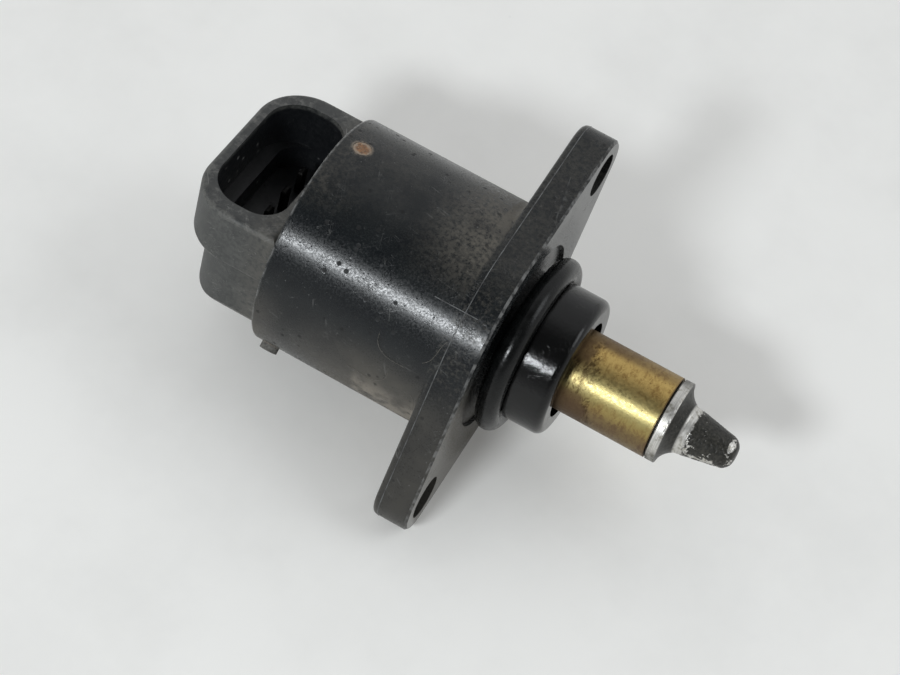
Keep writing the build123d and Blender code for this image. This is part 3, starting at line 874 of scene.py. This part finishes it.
class VALVE_OT_lint(bpy.types.Operator):
    """Lay a few curled fibres of lint on the can, behind the flange"""

    bl_idname = "valve.lint"
    bl_label = "Lint"

    def execute(self, context):
        sizes = context.scene.valve_sizes
        wool = plastic_finish("lint_fibre", (0.22, 0.205, 0.18), (0.14, 0.13, 0.11), 0.8)
        steps = 60
        lines = []
        for number in range(sizes.lint_count):
            # Fibres start in three rows behind the flange, each further round the can than the one before
            row = number % 3
            x, angle = (-6.8 - 1.9 * row) * MM, math.radians(-33 - 7 * number)
            stride = (5.0 + 1.4 * row) * MM / steps
            # Each sets off in its own direction and swings, and every second one arches off the can
            course, swing, curl = 0.5 + 1.7 * number, 0.9, 2 * math.pi * (0.4 + 0.07 * number)
            gap, arch = 0.04, 0.12 * (number % 2)
            line = []
            for step in range(steps + 1):
                share = step / steps
                heading = course + swing * math.sin(curl * share + number)
                x += stride * math.cos(heading)
                angle += stride * math.sin(heading) / CAN_RADIUS
                lift = (gap + arch * math.sin(math.pi * share)) * MM
                line.append(around(x, CAN_RADIUS + lift, angle))
            lines.append((line, False))
        made = swept_recipe().apply("lint", path_mesh("lint", *lines), wool, Radius=sizes.lint_radius)
        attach(made, "valve_body")
        return {"FINISHED"}


class VALVE_OT_cap(bpy.types.Operator):
    """Finish the connector cap, its pins and the terminals in its socket"""

    bl_idname = "valve.cap"
    bl_label = "Connector cap"

    def execute(self, context):
        dress(["connector_cap"], cap_finish(context.scene.valve_colors))
        # The terminals are painted near black, as shade deep in the socket, not as bright tin
        terminal_shade = steel_finish("terminal_tin", (0.02, 0.0195, 0.019), (0.012, 0.0115, 0.011), 0.6)
        dress([name for name in NODES if name.startswith("terminal_")], terminal_shade)
        dress(["cap_pins"], rust_finish(context.scene.valve_colors))
        return {"FINISHED"}


class VALVE_OT_seal(bpy.types.Operator):
    """Finish the seal"""

    bl_idname = "valve.seal"
    bl_label = "Seal"

    def execute(self, context):
        dress(["o_ring"], seal_finish())
        return {"FINISHED"}


class VALVE_OT_sleeve(bpy.types.Operator):
    """Finish the plunger's sleeve"""

    bl_idname = "valve.sleeve"
    bl_label = "Sleeve"

    def execute(self, context):
        dress(["plunger_sleeve"], brass_finish(context.scene.valve_colors))
        return {"FINISHED"}


def held(value):
    """Value held between 0 and 1."""
    return min(max(value, 0.0), 1.0)


def turned_profile(solid, step):
    """Profile of a turned solid along its axis, as (place, radius) pairs, from rays sent in from its side."""
    low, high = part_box(solid.name)
    count = int((high.x - low.x) / step)
    # Rays miss the edges between faces: the end ones start a little inwards, and all a little to one side
    inwards, aside = 0.002, 0.0137 * MM
    profile = []
    for number in range(count + 1):
        inset = {0: inwards, count: -inwards}.get(number, 0.0)
        x = low.x + (high.x - low.x) * (number + inset) / count
        hit, spot, _, _ = solid.ray_cast(Vector((x, aside, 1.0)), Vector((0, 0, -1)))
        if not hit:
            raise RuntimeError(f"no surface on {solid.name} at {x}")
        profile.append((x, math.hypot(spot.y, spot.z)))
    return profile


class VALVE_OT_pintle(bpy.types.Operator):
    """Make the pintle's worn surface: soot crust, flaked patches, a bare crescent on the nose that paints a
    highlight, and nicks in the collar's edges
    """

    bl_idname = "valve.pintle"
    bl_label = "Pintle"

    def execute(self, context):
        sizes, solid = context.scene.valve_sizes, NODES["pintle"]
        profile = turned_profile(solid, sizes.pintle_step)
        low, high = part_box("pintle")
        end_hit, socket_end, _, _ = solid.ray_cast(AXIS * (low.x - MM), AXIS)
        wall_hit, socket_wall, _, _ = solid.ray_cast(AXIS * (low.x + MM), Vector((0, 0, 1)))
        if not (end_hit and wall_hit):
            raise RuntimeError("the pintle has no socket")
        bore = math.hypot(socket_wall.y, socket_wall.z)
        inner = [(socket_end.x, 0.0), (socket_end.x, bore), (low.x, bore)]
        profile = inner + profile + [(high.x, 0.0)]
        wide = [x / MM for x, radius in profile if radius > SLEEVE_RADIUS - 0.02 * MM]
        edges = (min(wide), max(wide))
        columns = 224
        points, crust = [], []
        for x, radius in profile:
            for number in range(columns):
                angle = 2 * math.pi * number / columns
                spot = Vector((x, radius * math.sin(angle), radius * math.cos(angle))) / MM
                soot, lift = self.wear(spot, radius / MM, high.x / MM, edges, sizes)
                scale = (radius + lift * MM) / radius if radius > bore else 1.0
                points.append((x, spot.y * MM * scale, spot.z * MM * scale))
                crust.append(soot)
        faces = []
        for row in range(len(profile) - 1):
            for number in range(columns):
                after = (number + 1) % columns
                start, end = row * columns, (row + 1) * columns
                faces.append((start + number, end + number, end + after, start + after))
        mesh = bpy.data.meshes.new("worn_pintle")
        mesh.from_pydata(points, [], faces)
        mesh.attributes.new("soot", "FLOAT", "POINT").data.foreach_set("value", crust)
        close_up(mesh)
        mesh.materials.append(pintle_finish(context.scene.valve_colors).material)
        made = bpy.data.objects.new("worn_pintle", mesh)
        context.scene.collection.objects.link(made)
        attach(made, "plunger")
        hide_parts("pintle")
        return {"FINISHED"}

    def wear(self, spot, radius, tip, edges, sizes):
        """Soot from 0 to 1 and height at a spot on the turned surface, all in millimetres."""
        back = tip - spot.x
        rough = noise.fractal(spot * 0.9, 0.8, 2.0, 4)
        fine = noise.fractal(spot * 3.0, 0.7, 2.0, 3)
        # Soot covers the point, up to a ragged edge
        edge = sizes.soot_length / MM + 0.5 * rough
        point = held((edge - back) / 0.2)
        # It flakes off near that edge, at the tip and along the rubbed underside. A crescent of bare metal on
        # the nose, on the side facing the light and the camera, is a painted highlight.
        outwards = Vector((0, spot.y, spot.z)).normalized()
        below = outwards.dot(0.4 * FLANGE_SHORT - 0.92 * BOLT_LINE)
        near_edge = held((back - edge + 1.1) / 1.1)
        near_tip = held((2.0 - back) / 1.2)
        rubbed = held((below - 0.72) / 0.25)
        lit_side = outwards.dot(0.87 * FLANGE_SHORT + 0.5 * BOLT_LINE)
        crescent = 0.45 * held((lit_side - 0.8) / 0.2)
        painted_glint = 1.3 if abs(back - 0.95 - 0.12 * fine) < crescent else 0.0
        worn = max(0.9 * near_edge, 0.35 * near_tip, 0.75 * rubbed, painted_glint)
        flaked = 1.0 if rough + 0.55 * fine > 0.95 - worn else 0.0
        soot = point * (1.0 - flaked)
        # It also lies in the hollow of the flare, and the collar's edges are nicked
        in_flare = held((back - sizes.flare_back / MM) / 0.25)
        in_flare *= 1.0 if radius < SLEEVE_RADIUS / MM - 0.1 and spot.x > SLEEVE_X / MM else 0.0
        soot = max(soot, in_flare)
        nick = -0.06 if min(abs(spot.x - place) for place in edges) < 0.16 and rough + fine > 0.55 else 0.0
        lift = 0.05 * soot * point * (1.0 + 0.6 * fine) + 0.012 * fine * point + nick
        return soot, lift


class VALVE_OT_screw(bpy.types.Operator):
    """Wind the thread round the lead screw"""

    bl_idname = "valve.screw"
    bl_label = "Lead screw"

    def execute(self, context):
        sizes = context.scene.valve_sizes
        bright = steel_finish("screw_steel", (0.55, 0.55, 0.54), (0.42, 0.42, 0.41), 0.28)
        dress(["lead_screw"], bright)
        low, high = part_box("lead_screw")
        pitch, turn_steps, plain_turns = sizes.thread_pitch, 24, 7
        start, end = low.x + pitch, SLEEVE_X - pitch * plain_turns
        ridge = high.z - sizes.thread_radius * 0.2
        line = []
        for step in range(int((end - start) / pitch * turn_steps) + 1):
            line.append(around(start + pitch * step / turn_steps, ridge, 2 * math.pi * step / turn_steps))
        path = path_mesh("thread", (line, False))
        thread = swept_recipe().apply("screw_thread", path, bright, Radius=sizes.thread_radius)
        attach(thread, "plunger")
        return {"FINISHED"}


def winding_recipe():
    """Recipe: turns of wire side by side along a path's points."""
    made = Recipe("winding", Radius="Float", Wire="Float")
    turn = made.circle(96, made.given["Radius"])
    section = made.circle(8, made.given["Wire"])
    loop = made.node("GeometryNodeCurveToMesh", {"Curve": turn, "Profile Curve": section}).outputs[0]
    inputs = {"Points": made.given["Path"], "Instance": loop, "Rotation": (0.0, math.pi / 2, 0.0)}
    made.finish(made.node("GeometryNodeInstanceOnPoints", inputs).outputs[0])
    return made


class VALVE_OT_windings(bpy.types.Operator):
    """Lay the outer turns of wire on both coils"""

    bl_idname = "valve.windings"
    bl_label = "Windings"

    def execute(self, context):
        wire = context.scene.valve_sizes.wire_radius
        copper = steel_finish("coil_wire", (0.5, 0.2, 0.07), (0.38, 0.14, 0.05), 0.3)
        recipe = winding_recipe()
        for name in ("front_coil", "rear_coil"):
            dress([name], copper)
            low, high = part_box(name)
            count = int((high.x - low.x) / (2 * wire))
            places = [Vector((low.x + (high.x - low.x) * (n + 0.5) / count, 0, 0)) for n in range(count)]
            path = bpy.data.meshes.new(name)
            path.from_pydata(places, [], [])
            made = recipe.apply(f"{name}_turns", path, copper, Radius=high.z, Wire=wire)
            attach(made, "valve_body")
        return {"FINISHED"}


class VALVE_OT_motor(bpy.types.Operator):
    """Finish the motor inside the can"""

    bl_idname = "valve.motor"
    bl_label = "Motor"

    def execute(self, context):
        stators = [name for name in NODES if "_stator_" in name]
        dress(stators, steel_finish("stator_steel", (0.5, 0.5, 0.47), (0.4, 0.4, 0.36), 0.4))
        bobbins = ["front_bobbin", "rear_bobbin"]
        dress(bobbins, plastic_finish("bobbin_plastic", (0.6, 0.56, 0.46), (0.5, 0.46, 0.37), 0.5))
        races = ["bearing_outer_race", "bearing_inner_race", "bearing_balls"]
        dress(races, steel_finish("bearing_steel", (0.62, 0.62, 0.62), (0.54, 0.54, 0.54), 0.16))
        dress(["bearing_cage"], plastic_finish("cage_plastic", (0.3, 0.18, 0.09), (0.22, 0.13, 0.06), 0.5))
        dress(["rear_bush"], steel_finish("bush_bronze", (0.5, 0.32, 0.14), (0.4, 0.25, 0.1), 0.45))
        dress(["preload_washer"], steel_finish("spring_steel", (0.25, 0.26, 0.3), (0.18, 0.18, 0.2), 0.3))
        dress(["lead_nut"], plastic_finish("nut_plastic", (0.7, 0.67, 0.58), (0.6, 0.57, 0.48), 0.45))
        dress(["rotor_hub"], plastic_finish("hub_plastic", (0.05, 0.05, 0.05), (0.03, 0.03, 0.03), 0.5))
        ferrite = plastic_finish("magnet_ferrite", (0.045, 0.045, 0.048), (0.025, 0.025, 0.028), 0.4)
        dress(["rotor_magnet"], ferrite)
        guide = plastic_finish("guide_plastic", (0.025, 0.025, 0.025), (0.015, 0.015, 0.015), 0.5)
        dress(["guide_bush"], guide)
        return {"FINISHED"}


# The camera, as it was found from the can's rim, the flange, the holes, the spigot and the plunger
LENS_MM = 110.24
SENSOR_MM = 36.0
AIM = Vector((-0.01, 0, 0))
CAMERA_DISTANCE = 0.37705
TILT = math.radians(10.28)
SPIN = math.radians(-1.53)
AXIS_SLOPE = math.radians(28.53)
SHIFT_Y = -0.04


def photo_view():
    """Right, up and back directions of a camera that sees the valve's axis slope down to the right."""
    side = math.cos(SPIN) * FLANGE_SHORT + math.sin(SPIN) * BOLT_LINE
    across = math.cos(SPIN) * BOLT_LINE - math.sin(SPIN) * FLANGE_SHORT
    back = math.sin(TILT) * AXIS + math.cos(TILT) * side
    along = math.cos(TILT) * AXIS - math.sin(TILT) * side
    right = math.cos(AXIS_SLOPE) * along + math.sin(AXIS_SLOPE) * across
    up = math.cos(AXIS_SLOPE) * across - math.sin(AXIS_SLOPE) * along
    return right, up, back


def place_camera():
    """Put the camera where the photo was taken from."""
    right, up, back = photo_view()
    camera = bpy.data.objects.new("camera", bpy.data.cameras.new("camera"))
    bpy.context.scene.collection.objects.link(camera)
    turn = Matrix((right, up, back)).transposed().to_4x4()
    camera.matrix_world = Matrix.Translation(AIM + back * CAMERA_DISTANCE) @ turn
    camera.data.lens = LENS_MM
    camera.data.sensor_width = SENSOR_MM
    camera.data.shift_y = SHIFT_Y
    camera.data.clip_start = 0.01
    bpy.context.scene.camera = camera


def soft_lamp(name, direction, distance, length, width, radiance):
    """Oval lamp of a given radiance that faces the valve, long in the direction of the valve's axis."""
    lamp = bpy.data.lights.new(name, "AREA")
    lamp.shape = "ELLIPSE"
    lamp.size = length
    lamp.size_y = width
    lamp.color = (0.93, 0.97, 1.0)
    lamp.energy = radiance * math.pi * math.pi * length * width / 4
    placed = bpy.data.objects.new(name, lamp)
    bpy.context.scene.collection.objects.link(placed)
    towards = Vector(direction).normalized()
    across = towards.cross(AXIS).normalized()
    turn = Matrix((across.cross(towards), across, towards)).transposed().to_4x4()
    placed.matrix_world = Matrix.Translation(AIM + towards * distance) @ turn


def light_room(bright, shade):
    """World of even light, darker in the broad patch of sky behind the camera."""
    scene = bpy.context.scene
    scene.world = scene.world or bpy.data.worlds.new("world")
    scene.world.use_nodes = True
    room = Graph()
    room.tree = scene.world.node_tree
    sky = room.tree.nodes["Background"]
    sky.inputs["Color"].default_value = (0.97, 0.985, 1.0, 1.0)
    where = room.node("ShaderNodeTexCoord").outputs["Generated"]
    facing = room.node("ShaderNodeVectorMath", {0: where, 1: tuple(photo_view()[2])}, operation="DOT_PRODUCT")
    inputs = {
        "Value": facing.outputs["Value"],
        "From Min": 0.4, "From Max": 0.92, "To Min": bright, "To Max": shade,
    }
    eased = room.node("ShaderNodeMapRange", inputs, interpolation_type="SMOOTHSTEP")
    room.feed(sky.inputs["Strength"], eased.outputs["Result"])


class VALVE_OT_stage(bpy.types.Operator):
    """Make the table, the light and the camera"""

    bl_idname = "valve.stage"
    bl_label = "Stage"

    def execute(self, context):
        scene = context.scene
        scene.view_settings.view_transform = "Standard"
        half, glow = 1.5, 0.1
        mesh = bpy.data.meshes.new("table")
        corners = [(-half, -half), (half, -half), (half, half), (-half, half)]
        mesh.from_pydata([(x, y, FLOOR_Z) for x, y in corners], [], [(0, 1, 2, 3)])
        table = bpy.data.objects.new("table", mesh)
        scene.collection.objects.link(table)
        paint = Finish("table_paint", 0.6)
        floor = tuple(scene.valve_colors.floor)
        smudge = paint.ramp(paint.noise(0.03, 5.0, 0.6), 0.35, 0.7)
        color = paint.mix(smudge, floor, tuple(0.93 * part for part in floor))
        paint.color(paint.mix(paint.times(paint.specks(0.06, 0.03, 0.35), 0.5), color, (0.4, 0.4, 0.39)))
        paint.bump(paint.noise(0.15, 4.0), 0.05)
        paths = paint.node("ShaderNodeLightPath").outputs
        seen = paint.most(paths["Is Camera Ray"], paths["Is Glossy Ray"], paths["Is Transmission Ray"])
        paint.feed(paint.shader.inputs["Emission Color"], (*floor, 1.0))
        paint.feed(paint.shader.inputs["Emission Strength"], paint.times(seen, glow))
        mesh.materials.append(paint.material)
        light_room(bright=0.775, shade=0.12)
        right, up, back = photo_view()
        towards_window = (-0.178, -0.751, 0.636)
        soft_lamp("window", towards_window, distance=0.9, length=0.25, width=0.135, radiance=43.0)
        towards_second = 0.8 * right + 0.25 * up + 0.55 * back
        soft_lamp("second_window", towards_second, distance=0.9, length=0.5, width=0.5, radiance=2.2)
        place_camera()
        return {"FINISHED"}


STEPS = (
    VALVE_OT_housing,
    VALVE_OT_lint,
    VALVE_OT_cap,
    VALVE_OT_seal,
    VALVE_OT_sleeve,
    VALVE_OT_pintle,
    VALVE_OT_screw,
    VALVE_OT_windings,
    VALVE_OT_motor,
    VALVE_OT_stage,
)


class VALVE_PT_looks(bpy.types.Panel):
    """Lists the valve's steps, sizes and colours"""

    bl_idname = "VALVE_PT_looks"
    bl_label = "Idle air control valve"
    bl_space_type = "VIEW_3D"
    bl_region_type = "UI"
    bl_category = "Valve"

    def draw(self, context):
        for step in STEPS:
            self.layout.operator(step.bl_idname)
        for group in (context.scene.valve_sizes, context.scene.valve_colors):
            for name in type(group).__annotations__:
                self.layout.prop(group, name)


CLASSES = (ValveSizes, ValveColors, *STEPS, VALVE_PT_looks)


def register():
    """Add the classes and the valve's settings."""
    for made in CLASSES:
        bpy.utils.register_class(made)
    bpy.types.Scene.valve_sizes = PointerProperty(type=ValveSizes)
    bpy.types.Scene.valve_colors = PointerProperty(type=ValveColors)


def unregister():
    """Take the settings and the classes away again."""
    del bpy.types.Scene.valve_colors
    del bpy.types.Scene.valve_sizes
    for made in reversed(CLASSES):
        bpy.utils.unregister_class(made)


def main():
    """Run every step in order."""
    register()
    for step in STEPS:
        family, name = step.bl_idname.split(".")
        getattr(getattr(bpy.ops, family), name)()


if __name__ == "__main__":
    main()
